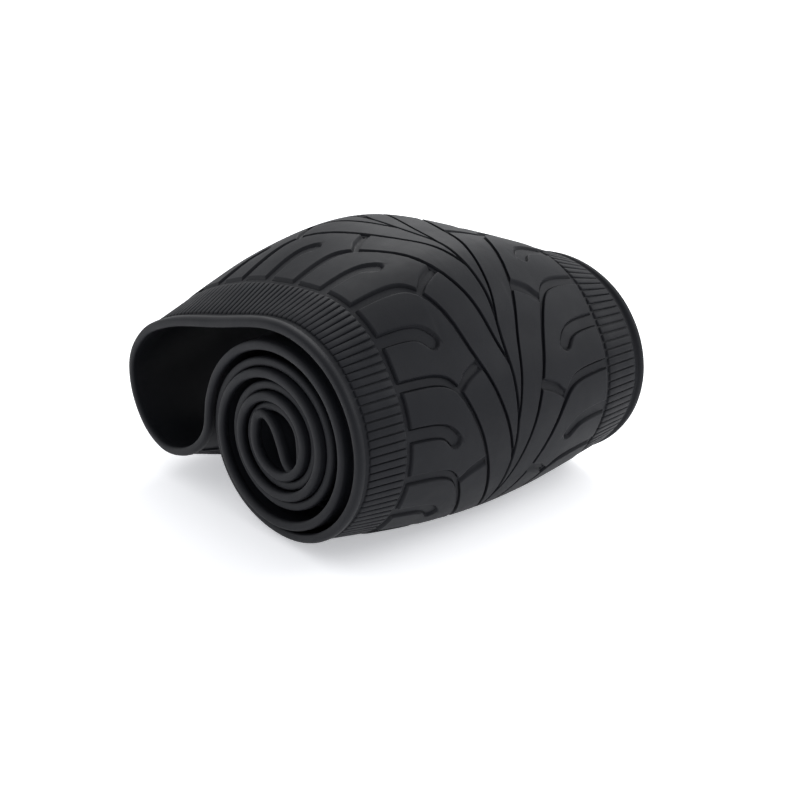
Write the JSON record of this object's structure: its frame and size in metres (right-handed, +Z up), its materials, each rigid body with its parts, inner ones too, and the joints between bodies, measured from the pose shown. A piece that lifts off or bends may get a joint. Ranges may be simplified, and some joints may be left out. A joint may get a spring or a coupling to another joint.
{
  "type": "steering wheel cover",
  "caption": "Stretch-on steering wheel cover of moulded rubber, flattened and rolled up on its side, with tread blocks outside, ribbed margins and beaded edges.",
  "frame": {"origin": "middle of the outline, at the level of the table it lies on", "axes": "+Z up as it lies, Y along the axis of the roll, -X towards the free loop"},
  "size_m": [0.1272, 0.103, 0.0755],
  "materials": {
    "silicone": "matte charcoal"
  },
  "bodies": {
    "root": {"steering_wheel_cover": "silicone"}
  },
  "joints": []
}
